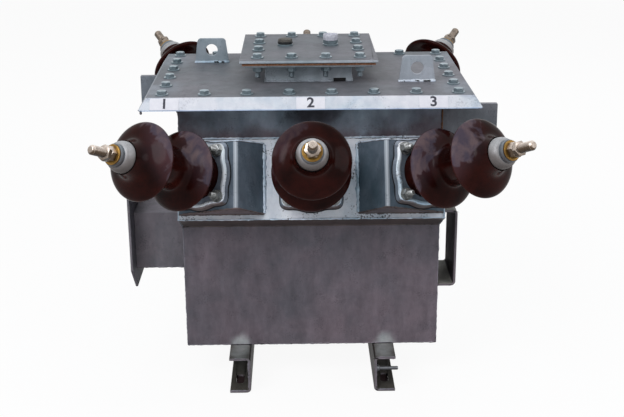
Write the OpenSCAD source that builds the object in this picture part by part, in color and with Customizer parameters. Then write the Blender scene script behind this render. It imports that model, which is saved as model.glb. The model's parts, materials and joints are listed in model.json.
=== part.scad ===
// Combined instrument transformer: a welded steel tank on two channels, with a
// bolted cover, a raised hatch, and three porcelain bushings on a sloping
// pocket at the front and three more at the rear.
// Millimetres, +Z up, origin on the floor under the tank's centre, front at -Y.

/* [Tank] */
// Width of the tank, side to side
tank_w = 525; // [450:1:650]
// Depth of the tank, front wall to rear wall
tank_d = 340; // [300:1:420]
// Height from the tank's underside to the rim's top face
tank_h = 537; // [480:1:640]
// Thickness of the tank walls
wall = 5; // [3:0.5:8]
// Thickness of the tank's bottom plate
bottom_t = 6; // [4:0.5:12]
// How far the rim flange stands out from the walls
rim_w = 45; // [36:1:46]
// Thickness of the rim flange
rim_t = 8; // [5:0.5:12]

/* [Cover] */
// Thickness of the sheets of the cover, its lip and the hatch plate
cover_t = 5; // [3:0.5:6]
// Thickness of the sealing gasket under the cover
gasket_t = 5; // [3:0.5:8]
// Width of the flat rim of the cover in front of and behind the tank
cover_rim = 50; // [50:1:60]
// Width of the flat rim of the cover beside the tank
cover_side_rim = 55; // [50:1:60]
// How far the front and rear lips flare out
lip_out = 20; // [12:1:30]
// How far the side lips flare out
side_lip_out = 15; // [12:1:30]
// Height of the flared lips
lip_drop = 22; // [18:1:30]
// Radius of the cover's corners in plan
cover_corner_r = 8; // [2:1:20]

/* [Hatch] */
// Width of the hatch plate
hatch_w = 276; // [250:1:300]
// Depth of the hatch plate
hatch_d = 302; // [280:1:330]
// Thickness of the hatch plate
hatch_t = 6; // [4:0.5:10]
// Thickness of the cork gasket
cork_t = 5; // [3:0.5:8]
// How far the cork stands back from the plate's edge
cork_inset = 4; // [2:1:6]
// How far the neck's flange stands back from the plate's edge
neck_flange_inset = 10; // [7:1:14]
// Thickness of the neck's flange
neck_flange_t = 5; // [4:0.5:8]
// Width of the neck
neck_w = 175; // [150:1:200]
// Depth of the neck
neck_d = 205; // [180:1:220]
// Height of the neck's walls under its flange
neck_h = 37; // [25:1:50]
// How far the hatch sits to the right of the tank's centre
hatch_x = -2; // [-10:1:10]
// How far the hatch sits behind the tank's centre
hatch_y = 15; // [0:1:25]
// Distance of each plug from the hatch's middle
plug_x = 48; // [40:1:60]
// How far the plugs sit behind the hatch's middle
plug_y = 15; // [0:1:30]
// Radius of the small hole in the hatch plate's corner
tag_hole_r = 3; // [2:0.5:4]
// Distance of the small hole from the hatch plate's two edges
tag_hole_in = 12; // [8:1:20]

/* [Plugs] */
// Radius of the plugs' threaded ends
plug_r = 9.8; // [8:0.1:12]
// Radial gap between a plug's thread and its hole
plug_gap = 0.2; // [0.1:0.05:0.5]
// Radius of the plugs' washers
plug_washer_r = 16.5; // [15:0.5:20]
// Thickness of the plugs' washers
plug_washer_t = 3.5; // [1.5:0.5:4]
// Width across corners of the fill plug's head
fill_plug_w = 31; // [26:1:34]
// Height of the fill plug's head
fill_plug_h = 12.5; // [8:0.5:25]
// Width across corners of the vent plug's hexagon
vent_plug_w = 33; // [30:1:34]
// Height of the vent plug's hexagon
vent_plug_hex_h = 6; // [4:1:12]
// Radius of the vent plug's round body
vent_plug_r = 16; // [12:0.5:17]
// Height of the vent plug's round body
vent_plug_h = 16.5; // [12:0.5:30]

/* [Lifting lugs] */
// Width of a lug at the cover
lug_w = 74; // [60:1:90]
// Width of a lug at the top
lug_top_w = 60; // [52:1:60]
// Height of a lug
lug_h = 53; // [48:1:60]
// Thickness of a lug
lug_t = 8; // [6:0.5:12]
// Radius of the lug's hole
lug_hole_r = 13; // [10:0.5:15]
// Height of the hole's centre above the cover
lug_hole_z = 28; // [24:1:32]
// Radius of the lug's top corners
lug_corner_r = 8; // [3:1:10]
// Distance of the left lug's middle from the flat cover's end
left_lug_x = 105.5; // [85:0.5:125]
// Distance of the right lug's middle from the flat cover's end
right_lug_x = 99.5; // [85:0.5:125]
// How far the left lug sits behind the tank's centre
left_lug_y = 120; // [80:1:130]
// How far the right lug sits in front of the tank's centre
right_lug_y = 92; // [80:1:130]

/* [Bushing pockets] */
// Length of a pocket's sloping face
face_l = 164; // [156:1:180]
// Height of the face's top edge above the tank's underside
face_top = 451; // [440:1:470]
// Tilt of the front pocket's face from upright
front_tilt = 27.5; // [22:0.5:36]
// Tilt of the rear pocket's face from upright
rear_tilt = 34; // [22:0.5:36]
// Thickness of the pocket plates
pocket_t = 5; // [3:0.5:6]
// Angle that the front outer bushings turn away from the middle one
front_turn = 33; // [26:0.5:36]
// Angle that the rear outer bushings turn away from the middle one
rear_turn = 30.5; // [26:0.5:36]
// Length of the plate that carries an outer bushing
turret_plate_l = 142; // [134:1:150]
// Gap between the middle bushing's clamp and each turret's foot
turret_gap = 24; // [10:0.5:30]
// How far the turret stands back from the face's top and bottom edges
turret_margin = 11; // [4:1:14]
// Lean of the turret's top plate down the slope
turret_lean = 7; // [0:1:12]
// Outside radius of the bend at the turret's peak
turret_bend_r = 8; // [7:0.5:12]
// Distance from the outer end of the turret plate to its bushing
turret_bushing = 60; // [56:1:66]
// Distance from the face's top edge to the bushings' axes
bushing_drop = 82.5; // [78:0.5:86]

/* [Bushings] */
// Radius of the inner sheds
shed_r = 77.5; // [66:0.5:80]
// Radius of the outer sheds
outer_shed_r = 74; // [64:0.5:78]
// Distance from the flange plate to the inner shed's rim
shed_1 = 69; // [60:1:76]
// Distance from the inner shed's rim to the outer shed's rim
shed_pitch = 112; // [96:1:124]
// Height of a shed's dome
shed_h = 18; // [14:1:24]
// Radius of the porcelain between the sheds
core_r = 38; // [34:1:42]
// Radius of the porcelain's neck between the clamp and the inner shed
neck_r = 46; // [44:1:50]
// Radius of the porcelain's foot under the clamp
foot_r = 52; // [51:0.5:54]
// Thickness of the porcelain's foot
foot_t = 6; // [4:0.5:8]
// Distance from the outer shed's rim to the porcelain's end
top_l = 50; // [40:1:58]
// Radius of the porcelain's end
top_r = 31; // [30.5:0.5:34]
// Length of the porcelain's stem inside the pocket
stem_l = 28; // [20:1:36]
// Radius of the porcelain's stem
stem_r = 30; // [26:1:34]
// Radius of the sheds' rounded rims
shed_nose_r = 4; // [3:0.5:5]
// How far the dome's top edge steps out from the core
shed_step = 4; // [3:0.5:6]
// How far the collar near the porcelain's end stands out
collar_out = 2; // [1:0.5:3]
// Length of the collar near the porcelain's end
collar_l = 8; // [6:1:10]
// Length of the porcelain between the collar and the cap
collar_in = 4; // [3:0.5:6]
// Side of the square clamp flange at its back
clamp_w = 126; // [120:1:130]
// Thickness of the clamp flange
clamp_t = 12; // [10:0.5:16]
// How far the clamp's sides swell out in the middle, round the porcelain
clamp_bulge = 6; // [0:0.5:8]
// How far the clamp's front edge stands in from its back edge
clamp_draft = 5.5; // [0:0.5:7]
// Radius of the clamp's corners
clamp_corner_r = 14; // [8:1:18]
// Radial gap between the porcelain and what it passes through
porcelain_gap = 1; // [0.5:0.1:2]

/* [Terminals] */
// Radius of the terminal stud
stud_r = 9; // [6:0.5:9]
// Length of the studs beyond their last nuts
stud_free_l = 32.5; // [25:0.5:60]
// Length of the rear middle stud beyond its last nut
short_stud_free_l = 20; // [15:0.5:60]
// Length of the stud beyond the nut inside the pocket
stud_in_l = 5; // [3:1:15]
// Width across flats of the terminal nuts
nut_af = 26; // [22:0.5:27]
// Thickness of the full nut
nut_t = 13; // [10:0.5:16]
// Thickness of the lock nut
lock_nut_t = 8.5; // [6:0.5:13]
// Radius of the brass washer
washer_r = 19; // [17:0.5:20]
// Thickness of the brass washer
washer_t = 4; // [2:0.5:6]
// Radius of the cap's open end
cap_r = 29.5; // [27:0.5:30]
// Radius of the cap's seat for the washer
cap_seat_r = 21; // [20:0.5:23]
// Height of the cap
cap_h = 28; // [22:1:34]
// Height of the cap's straight edge
cap_edge_h = 3; // [2:0.5:5]
// Height of the cap's seat for the washer
cap_seat_h = 9; // [4:0.5:10]
// Radial gap around the stud
stud_gap = 0.6; // [0.3:0.1:1.5]

/* [Base channels] */
// Height of the channels
channel_h = 79; // [60:1:100]
// Width of the channels' flanges
channel_w = 44; // [38:1:60]
// Thickness of the channels' plate
channel_t = 5.5; // [4:0.5:8]
// Distance between the webs of the two channels
channel_gap = 256; // [200:1:300]
// How far the channels reach past the tank, front and rear
channel_reach = 67; // [60:1:100]
// Bend radius of the channels' outer corners
channel_bend_r = 9; // [8:1:12]
// Half the width of the fixing slots
fix_hole_r = 8.5; // [6:0.5:10]
// Length of the fixing slots, along the channels
fix_slot_l = 40; // [24:1:44]
// Distance of the fixing slots' middles from the channels' ends
fix_hole_in = 54; // [40:1:56]
// Radius of the earthing stud
earth_r = 4; // [3:0.5:6]
// Length of the earthing stud
earth_l = 44.5; // [40:0.5:60]
// Height of the earthing stud's axis
earth_z = 48.5; // [36:0.5:54]
// Distance of the earthing stud from the channel's front end
earth_in = 10; // [9:1:30]
// Radius of the earthing stud's head, to its corners
earth_head_r = 7.6; // [6:0.2:9]
// Thickness of the earthing stud's head
earth_head_t = 5; // [3:0.5:8]

/* [Side pieces] */
// Width of the terminal box, out from the tank's left side
box_w = 108; // [90:1:120]
// Depth of the terminal box, front to back
box_d = 210; // [160:1:250]
// Height of the terminal box
box_h = 123; // [100:1:140]
// Height of the terminal box's underside
box_z = 231; // [200:1:240]
// Thickness of the terminal box's sheet
box_t = 4; // [2:0.5:6]
// Depth of the box's cover plate, front to back
box_cover_d = 316; // [280:1:330]
// How far the box's cover plate hangs below the box
box_cover_drop = 45; // [40:1:60]
// How far the box's cover plate stands above the box
box_cover_rise = 50; // [30:1:60]
// Length cut off the cover plate's lower corners along the bottom
box_cover_cut = 58; // [20:1:60]
// Thickness of the box's cover plate
box_cover_t = 5; // [3:0.5:8]
// Width of the two flat side plates, out from the tank
side_plate_w = 112; // [90:1:130]
// Height of the two flat side plates
side_plate_h = 81; // [60:1:100]
// Distance of the side plates' top below the tank's rim top
side_plate_drop = 24; // [20:1:40]
// Depth of the folded lip on the side plates
side_plate_lip = 13; // [8:1:20]
// Thickness of the side plates
side_plate_t = 4; // [3:0.5:6]
// How far the side plates sit in from the tank's front and rear faces
side_plate_in = 16; // [5:1:30]
// How far the strap bracket stands out from the tank
strap_out = 38; // [30:1:60]
// Depth of the strap bracket, front to back
strap_d = 138; // [100:1:160]
// Height of the strap bracket
strap_h = 167; // [140:1:200]
// Height of the strap bracket's underside
strap_z = 206; // [180:1:220]
// Distance of the strap bracket from the tank's front face
strap_in = 5; // [2:1:40]
// Thickness of the strap bracket's plate
strap_t = 5; // [3:0.5:8]
// Bend radius of the strap bracket's outer corners
strap_bend_r = 10; // [9:1:16]

/* [Hidden] */
$fn = 64;

tank_z = channel_h;
rim_top = tank_z + tank_h;
cover_base = rim_top + gasket_t;
cover_top = cover_base + cover_t;
neck_top = cover_top + neck_h + neck_flange_t;
hatch_base = neck_top + cork_t;
cover_half_w = tank_w / 2 + cover_side_rim;

shed_2 = shed_1 + shed_pitch;
shed_over = shed_h + shed_step / 2;
porcelain_l = shed_2 + top_l;
washer_z = porcelain_l + cap_h;
nut_z = washer_z + washer_t;
nut_r = nut_af / 2 / cos(30);
stud_bore_r = stud_r + stud_gap;
plug_bore_r = plug_r + plug_gap;

// A turret's cross-section: its foot and its outer end
turret_foot_x = clamp_w / 2 + clamp_bulge + turret_gap;
turret_end_x = tank_w / 2;

channel_l = tank_d + 2 * channel_reach;

// How far a cutting body reaches past what it cuts
slack = 1;
// Least width of wall left round the opening between the tank and a pocket
window_margin = 20;
// Fullness of the sheds' domes and number of steps along them
dome_power = 1.7;
dome_steps = 7;
// Number of steps round the bend at a turret's peak
bend_steps = 4;
// Radius where the clamps' sides run into their round middles
clamp_fillet_r = 25;
// Turn between the full nut and the lock nut
lock_nut_turn = 18;

// Each bushing: name, side (-1 left, 0 middle, 1 right), front (1) or rear (-1)
BUSHINGS = [
    ["front_left", -1, 1], ["front_middle", 0, 1], ["front_right", 1, 1],
    ["rear_left", -1, -1], ["rear_middle", 0, -1], ["rear_right", 1, -1]
];

galvanised = "#8b9094";
dull_zinc = "#6c7178";
porcelain_brown = "#3a1410";
black = "#26262a";
cork_brown = "#9a6a4c";

// ---- helpers ----

// A box centred in X and Y that stands on z = 0
module block(w, d, h) {
    translate([-w / 2, -d / 2, 0]) cube([w, d, h]);
}

// A rectangle with rounded corners, centred
module rounded_rect(w, d, r) {
    square([w - 2 * r, d], center = true);
    square([w, d - 2 * r], center = true);
    for (x = [-1, 1], y = [-1, 1])
        translate([x * (w / 2 - r), y * (d / 2 - r)]) circle(r);
}

// A square ring that stands on z = 0
module ring(w, d, inner_w, inner_d, h) {
    difference() {
        block(w, d, h);
        translate([0, 0, -slack]) block(inner_w, inner_d, h + 2 * slack);
    }
}

// Rectangle from the origin with its two corners at x = 0 rounded
module bent_outline(w, h, r) {
    translate([r, 0]) square([w - r, h]);
    translate([0, r]) square([w, h - 2 * r]);
    for (y = [r, h - r]) translate([r, y]) circle(r);
}

// A plate bent to a U, seen from its end: web at x = 0, open at x = w
module bent_strip(w, h, t, r) {
    difference() {
        bent_outline(w, h, r);
        translate([t, t]) bent_outline(w, h - 2 * t, r - t);
    }
}

// ---- tank ----

// The wedge between a pocket's face and the wall, seen along X
module pocket_outline(tilt) {
    polygon([[0, 0], [-face_l, 0], [-face_l, -face_l * tan(tilt)]]);
}

// The wedge's hollow, inside the face and the bottom plate and open to the wall
module pocket_hollow(tilt) {
    low = pocket_t - face_l;
    polygon([[0, -pocket_t], [low, -pocket_t], [low, -face_l * tan(tilt) - pocket_t]]);
}

function tilt_of(front) = front == 1 ? front_tilt : rear_tilt;

function turn_of(front) = front == 1 ? front_turn : rear_turn;

// Places children in a pocket's face frame: X across, Y up the slope, Z outward
module on_face(front) {
    tilt = tilt_of(front);
    mirror([0, front == 1 ? 0 : 1, 0])
        translate([0, -tank_d / 2, tank_z + face_top])
            rotate([90 - tilt, 0, 0]) children();
}

// Places children at a bushing's seat: Z along its axis
module at_bushing(b) {
    turn = turn_of(b[2]);
    x = turret_end_x - turret_bushing * cos(turn);
    on_face(b[2])
        translate([b[1] * x, -bushing_drop, abs(b[1]) * turret_bushing * sin(turn)])
            rotate([0, b[1] * turn, 0]) children();
}

// The opening in a wall between the tank and a pocket
module wall_window(front) {
    pocket_h = face_l / cos(tilt_of(front));
    translate([-tank_w / 2 + window_margin, -tank_d, tank_z + face_top - pocket_h + window_margin])
        cube([tank_w - 2 * window_margin, tank_d, pocket_h - 1.5 * window_margin]);
}

module end_wall(front) {
    mirror([0, front == 1 ? 0 : 1, 0])
        difference() {
            translate([-tank_w / 2, -tank_d / 2, tank_z]) cube([tank_w, wall, tank_h - rim_t]);
            wall_window(front);
        }
}

module front_wall() { color(dull_zinc) end_wall(1); }

module rear_wall() { color(dull_zinc) end_wall(-1); }

module side_wall(side) {
    color(dull_zinc)
        translate([side * (tank_w - wall) / 2, 0, tank_z])
            block(wall, tank_d - 2 * wall, tank_h - rim_t);
}

module left_wall() { side_wall(-1); }

module right_wall() { side_wall(1); }

module bottom_plate() {
    color(dull_zinc)
        translate([0, 0, tank_z]) block(tank_w - 2 * wall, tank_d - 2 * wall, bottom_t);
}

module rim_flange() {
    color(galvanised)
        translate([0, 0, rim_top - rim_t])
            ring(tank_w + 2 * rim_w, tank_d + 2 * rim_w, tank_w - 2 * wall, tank_d - 2 * wall, rim_t);
}

// ---- cover ----

module cover_gasket() {
    color(black)
        translate([0, 0, rim_top])
            ring(tank_w + 2 * rim_w, tank_d + 2 * rim_w, tank_w, tank_d, gasket_t);
}

// A slab with sides that flare out downward; half_w and half_d are at its top
module flared_slab(half_w, half_d, top, h) {
    function profile(half, flare) = let (out = h * flare / lip_drop) [
        [-half, top], [half, top], [half + out, top - h], [-half - out, top - h]
    ];
    intersection() {
        rotate([90, 0, 0]) translate([0, 0, -half_d * 2])
            linear_extrude(half_d * 4) polygon(profile(half_w, side_lip_out));
        rotate([90, 0, 90]) translate([0, 0, -half_w * 2])
            linear_extrude(half_w * 4) polygon(profile(half_d, lip_out));
    }
}

// How far a lip's inner bend line lies from its outer one, so that it keeps the sheet's thickness
function lip_inset(flare) = cover_t / cos(atan(flare / lip_drop)) - cover_t * flare / lip_drop;

module cover() {
    half_w = cover_half_w;
    half_d = tank_d / 2 + cover_rim;
    color(galvanised)
        difference() {
            intersection() {
                flared_slab(half_w, half_d, cover_top, lip_drop);
                linear_extrude(cover_top + slack)
                    rounded_rect(2 * (half_w + side_lip_out), 2 * (half_d + lip_out), cover_corner_r);
            }
            flared_slab(half_w - lip_inset(side_lip_out), half_d - lip_inset(lip_out),
                        cover_base, lip_drop + slack);
            translate([hatch_x, hatch_y, cover_base - slack])
                block(neck_w - 2 * wall, neck_d - 2 * wall, cover_t + 2 * slack);
        }
}

module lifting_lug(x, y) {
    color(galvanised)
        translate([x, y + lug_t / 2, cover_top])
            rotate([90, 0, 0])
                linear_extrude(lug_t)
                    difference() {
                        lug_outline();
                        translate([0, lug_hole_z]) circle(lug_hole_r);
                    }
}

// Trapezoid with two rounded top corners
module lug_outline() {
    top = lug_top_w / 2;
    base = lug_w / 2;
    side = atan((base - top) / lug_h);
    // centre of the corner arc, and the point where the arc meets the sloping side
    cx = top - lug_corner_r * tan(45 - side / 2);
    arc = [for (a = [0 : 15 : 90]) [cx + lug_corner_r * sin(a), lug_h - lug_corner_r * (1 - cos(a))]];
    half = concat(arc, [[base, 0]]);
    polygon(concat([for (p = half) p], [for (i = [len(half) - 1 : -1 : 0]) [-half[i][0], half[i][1]]]));
}

module left_lifting_lug() { lifting_lug(left_lug_x - cover_half_w, left_lug_y); }

module right_lifting_lug() { lifting_lug(cover_half_w - right_lug_x, -right_lug_y); }

// ---- hatch ----

module hatch_neck() {
    color(galvanised)
        translate([hatch_x, hatch_y, cover_top]) {
            ring(neck_w, neck_d, neck_w - 2 * wall, neck_d - 2 * wall, neck_h);
            translate([0, 0, neck_h])
                ring(hatch_w - 2 * neck_flange_inset, hatch_d - 2 * neck_flange_inset,
                     neck_w - 2 * wall, neck_d - 2 * wall, neck_flange_t);
        }
}

module hatch_gasket() {
    color(cork_brown)
        translate([hatch_x, hatch_y, neck_top])
            ring(hatch_w - 2 * cork_inset, hatch_d - 2 * cork_inset, neck_w, neck_d, cork_t);
}

module hatch_plate() {
    color(galvanised)
        translate([hatch_x, hatch_y, hatch_base])
            difference() {
                block(hatch_w, hatch_d, hatch_t);
                translate([hatch_w / 2 - tag_hole_in, tag_hole_in - hatch_d / 2, -slack])
                    cylinder(h = hatch_t + 2 * slack, r = tag_hole_r);
                for (x = [-plug_x, plug_x]) translate([x, plug_y, -slack])
                    cylinder(h = hatch_t + 2 * slack, r = plug_bore_r);
            }
}

// A screwed plug: threaded end in the plate, washer on it, and what stands above
module plug(x) {
    translate([hatch_x + x, hatch_y + plug_y, hatch_base]) {
        cylinder(h = hatch_t, r = plug_r);
        translate([0, 0, hatch_t]) cylinder(h = plug_washer_t, r = plug_washer_r);
        translate([0, 0, hatch_t + plug_washer_t]) children();
    }
}

module fill_plug() {
    color(black)
        plug(-plug_x) cylinder(h = fill_plug_h, r = fill_plug_w / 2, $fn = 6);
}

module vent_plug() {
    color("#e6e6ea") plug(plug_x) {
        cylinder(h = vent_plug_hex_h, r = vent_plug_w / 2, $fn = 6);
        translate([0, 0, vent_plug_hex_h]) cylinder(h = vent_plug_h, r = vent_plug_r);
    }
}

// ---- bushing pockets ----

// A turret seen along the slope, with its plates' faces moved in by t: from its foot
// over the bend at its peak to its outer end
function turret_arch(turn, t) = let (
    peak = [turret_end_x - turret_plate_l * cos(turn), turret_plate_l * sin(turn)],
    slope = atan2(peak[1], peak[0] - turret_foot_x),
    // directions that the outsides of the inner and the outer plate face
    inner = slope + 90,
    outer = 90 - turn,
    mid = (inner + outer) / 2,
    centre = peak - turret_bend_r / cos(mid - outer) * [cos(mid), sin(mid)]
) concat(
    [[turret_foot_x + t / sin(slope), 0]],
    [for (i = [0 : bend_steps])
        let (a = inner + i * (outer - inner) / bend_steps)
        centre + (turret_bend_r - t) * [cos(a), sin(a)]],
    [[turret_end_x - t / sin(turn), 0]]
);

// A turret seen along X, with its end plates' faces moved in by t
module turret_side(t) {
    low = turret_margin - face_l + t;
    high = -turret_margin - t / cos(turret_lean);
    function at(z) = [high - z * tan(turret_lean), z];
    polygon([[low, -2 * pocket_t], at(-2 * pocket_t), at(turret_plate_l), [low, turret_plate_l]]);
}

// The two turrets' outer shape, or with t their hollows, which run down through the face
module turret_shape(front, t) {
    arch = turret_arch(turn_of(front), t);
    foot = arch[0][0];
    intersection() {
        for (side = [0, 1]) mirror([side, 0, 0])
            rotate([90, 0, 0]) linear_extrude(face_l) {
                polygon(arch);
                if (t > 0)
                    translate([foot, -2 * pocket_t])
                        square([arch[len(arch) - 1][0] - foot, 2 * pocket_t]);
            }
        across_face(tank_w) turret_side(t);
    }
}

// Pulls an outline out across the face, w wide
module across_face(w) {
    rotate([90, 0, 90]) translate([0, 0, -w / 2]) linear_extrude(w) children();
}

// Holes for the stems of a side's bushings
module stem_holes(front) {
    hole_h = 6 * pocket_t;
    for (b = BUSHINGS) if (b[2] == front)
        at_bushing(b) translate([0, 0, -hole_h / 2])
            cylinder(h = hole_h, r = stem_r + porcelain_gap);
}

module pocket(front) {
    tilt = tilt_of(front);
    difference() {
        on_face(front) across_face(tank_w) pocket_outline(tilt);
        on_face(front) {
            across_face(tank_w - 2 * pocket_t) pocket_hollow(tilt);
            turret_shape(front, pocket_t);
        }
        stem_holes(front);
    }
}

// The two boxes on a pocket's face that turn the outer bushings outward
module turrets(front) {
    difference() {
        on_face(front) turret_shape(front, 0);
        on_face(front) turret_shape(front, pocket_t);
        stem_holes(front);
    }
}

module front_pocket() { color(galvanised) pocket(1); }

module rear_pocket() { color(galvanised) pocket(-1); }

module front_turrets() { color(galvanised) turrets(1); }

module rear_turrets() { color(galvanised) turrets(-1); }

// ---- bushings ----

// Turns a part of the porcelain from its outer points, with the stud's bore through it
module turned(b, points) {
    at_bushing(b)
        rotate_extrude()
            polygon(concat(
                [[stud_bore_r, points[0][1]]], points, [[stud_bore_r, points[len(points) - 1][1]]]
            ));
}

// A shed of radius r at height z: underside from below_r out, rounded rim, dome up to the core
function shed(r, z, below_r) = let (
    rim = r - shed_nose_r,
    dome_r = r - shed_nose_r / 2,
    foot = core_r + shed_step
) concat(
    [[below_r, z + shed_nose_r], [rim - shed_nose_r, z - shed_nose_r]],
    [for (a = [-80 : 20 : 20]) [rim + shed_nose_r * cos(a), z + shed_nose_r * sin(a)]],
    [for (i = [1 : dome_steps])
        let (x = dome_r - i * (dome_r - foot) / dome_steps, u = (x - foot) / (r - foot))
        [x, z + shed_h * (1 - pow(u, dome_power))]],
    [[core_r, z + shed_over]]
);

// The porcelain's stem, foot and neck, the core between its sheds, and its outer end
module porcelain(b) {
    collar_top = porcelain_l - collar_in;
    color(porcelain_brown) {
        turned(b, [
            [stem_r, -stem_l], [stem_r, 0], [foot_r, 0], [foot_r, foot_t],
            [neck_r, foot_t], [neck_r, shed_1 + shed_nose_r]
        ]);
        turned(b, [[core_r, shed_1 + shed_over], [core_r, shed_2 + shed_nose_r]]);
        turned(b, [
            [core_r, shed_2 + shed_over], [top_r + collar_out, collar_top - collar_l],
            [top_r + collar_out, collar_top - collar_out], [top_r, collar_top], [top_r, porcelain_l]
        ]);
    }
}

module sheds(front) {
    color(porcelain_brown)
        for (b = BUSHINGS) if (b[2] == front) {
            turned(b, shed(shed_r, shed_1, neck_r));
            turned(b, shed(outer_shed_r, shed_2, core_r));
        }
}

module front_sheds() { sheds(1); }

module rear_sheds() { sheds(-1); }

// Square clamp flange with rounded corners and a round middle that swells its sides
module clamp_outline() {
    offset(r = -clamp_fillet_r) offset(r = clamp_fillet_r) {
        rounded_rect(clamp_w, clamp_w, clamp_corner_r);
        circle(clamp_w / 2 + clamp_bulge);
    }
}

module clamp(b) {
    color(galvanised)
        at_bushing(b)
            difference() {
                linear_extrude(clamp_t, scale = 1 - 2 * clamp_draft / clamp_w) clamp_outline();
                translate([0, 0, -slack]) cylinder(h = clamp_t + 2 * slack, r = neck_r + porcelain_gap);
                translate([0, 0, -slack]) cylinder(h = foot_t + slack, r = foot_r + porcelain_gap);
            }
}

module terminal(b) {
    inner_end = -stem_l - nut_t - stud_in_l;
    free_l = b[0] == "rear_middle" ? short_stud_free_l : stud_free_l;
    stud_end = nut_z + nut_t + lock_nut_t + free_l;
    color("#b0aca6")
        at_bushing(b) {
            translate([0, 0, inner_end]) cylinder(h = stud_end - inner_end, r = stud_r);
            translate([0, 0, -stem_l - nut_t]) cylinder(h = nut_t, r = nut_r, $fn = 6);
            translate([0, 0, nut_z]) cylinder(h = nut_t, r = nut_r, $fn = 6);
            translate([0, 0, nut_z + nut_t]) rotate(lock_nut_turn)
                cylinder(h = lock_nut_t, r = nut_r, $fn = 6);
        }
}

module terminal_caps() {
    seat = cap_h - cap_seat_h;
    dome_h = seat - cap_edge_h;
    color("#8e9092")
        for (b = BUSHINGS) at_bushing(b) translate([0, 0, porcelain_l])
            rotate_extrude()
                polygon(concat(
                    [[stud_bore_r, 0], [cap_r, 0]],
                    [for (a = [0 : 15 : 75])
                        [cap_seat_r + (cap_r - cap_seat_r) * cos(a), cap_edge_h + dome_h * sin(a)]],
                    [[cap_seat_r, seat], [cap_seat_r, cap_h], [stud_bore_r, cap_h]]
                ));
}

module terminal_washers() {
    color("#b98b3a")
        for (b = BUSHINGS) at_bushing(b) translate([0, 0, washer_z])
            difference() {
                cylinder(h = washer_t, r = washer_r);
                translate([0, 0, -slack]) cylinder(h = washer_t + 2 * slack, r = stud_bore_r);
            }
}

// ---- base ----

// A slot that stands on z = 0, with round ends, along Y
module slot(l, r, h) {
    block(2 * r, l - 2 * r, h);
    for (y = [-1, 1]) translate([0, y * (l / 2 - r), 0]) cylinder(h = h, r = r);
}

// A channel with its web towards the middle and its flanges pointing outward
module channel(side) {
    color(dull_zinc)
        mirror([side == 1 ? 0 : 1, 0, 0])
            translate([channel_gap / 2, channel_l / 2, 0])
                difference() {
                    rotate([90, 0, 0])
                        linear_extrude(channel_l)
                            bent_strip(channel_w, channel_h, channel_t, channel_bend_r);
                    for (y = [-fix_hole_in, fix_hole_in - channel_l])
                        translate([(channel_w + channel_t) / 2, y, -slack])
                            slot(fix_slot_l, fix_hole_r, channel_t + 2 * slack);
                }
}

module left_channel() { channel(-1); }

module right_channel() { channel(1); }

module earth_stud() {
    color("#9a9c9e")
        translate([channel_gap / 2 + channel_t, -channel_l / 2 + earth_in, earth_z])
            rotate([0, 90, 0]) {
                cylinder(h = earth_l, r = earth_r);
                cylinder(h = earth_head_t, r = earth_head_r, $fn = 6);
            }
}

// ---- side pieces ----

module terminal_box() {
    color(dull_zinc)
        translate([-tank_w / 2 - box_w, -box_d / 2, box_z])
            difference() {
                cube([box_w, box_d, box_h]);
                translate([-slack, box_t, box_t])
                    cube([box_w - box_t + slack, box_d - 2 * box_t, box_h - 2 * box_t]);
            }
}

module terminal_box_cover() {
    half = box_cover_d / 2;
    low = box_z - box_cover_drop;
    high = box_z + box_h + box_cover_rise;
    color(dull_zinc)
        translate([-tank_w / 2 - box_w - box_cover_t, 0, 0])
            rotate([90, 0, 90])
                linear_extrude(box_cover_t)
                    polygon([
                        [-half, low + box_cover_cut], [-half + box_cover_cut, low],
                        [half - box_cover_cut, low], [half, low + box_cover_cut],
                        [half, high], [-half, high]
                    ]);
}

// A sheet standing out from a side wall, with its top folded back
module side_plate(side, y) {
    x = side == 1 ? tank_w / 2 : -tank_w / 2 - side_plate_w;
    top = rim_top - side_plate_drop;
    color(galvanised)
        translate([x, y, top - side_plate_h]) {
            cube([side_plate_w, side_plate_t, side_plate_h]);
            translate([0, 0, side_plate_h - side_plate_t])
                cube([side_plate_w, side_plate_lip, side_plate_t]);
        }
}

module left_side_plate() { side_plate(-1, tank_d / 2 - side_plate_in - side_plate_lip); }

module right_side_plate() { side_plate(1, -tank_d / 2 + side_plate_in); }

// A flat bar bent to a U that stands on the tank's right wall
module strap_bracket() {
    color(dull_zinc)
        translate([tank_w / 2 + strap_out, -tank_d / 2 + strap_in + strap_d, strap_z])
            rotate([90, 0, 0])
                linear_extrude(strap_d)
                    mirror([1, 0, 0])
                        bent_strip(strap_out, strap_h, strap_t, strap_bend_r);
}

front_wall();
rear_wall();
left_wall();
right_wall();
bottom_plate();
rim_flange();
cover_gasket();
cover();
left_lifting_lug();
right_lifting_lug();
hatch_neck();
hatch_gasket();
hatch_plate();
fill_plug();
vent_plug();
front_pocket();
rear_pocket();
front_turrets();
rear_turrets();
front_sheds();
rear_sheds();
left_channel();
right_channel();
earth_stud();
terminal_box();
terminal_box_cover();
left_side_plate();
right_side_plate();
strap_bracket();
terminal_caps();
terminal_washers();
for (b = BUSHINGS) {
    porcelain(b);
    clamp(b);
    terminal(b);
}
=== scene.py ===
"""Combined instrument transformer: a galvanised tank with six brown porcelain bushings.

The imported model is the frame; this script adds fasteners, welds, glazed porcelain,
markers and materials. Lengths are metres unless a name or a comment says mm.
"""

import json
import math
import random

import bmesh
import bpy
from mathutils import Matrix, Vector, noise


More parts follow.
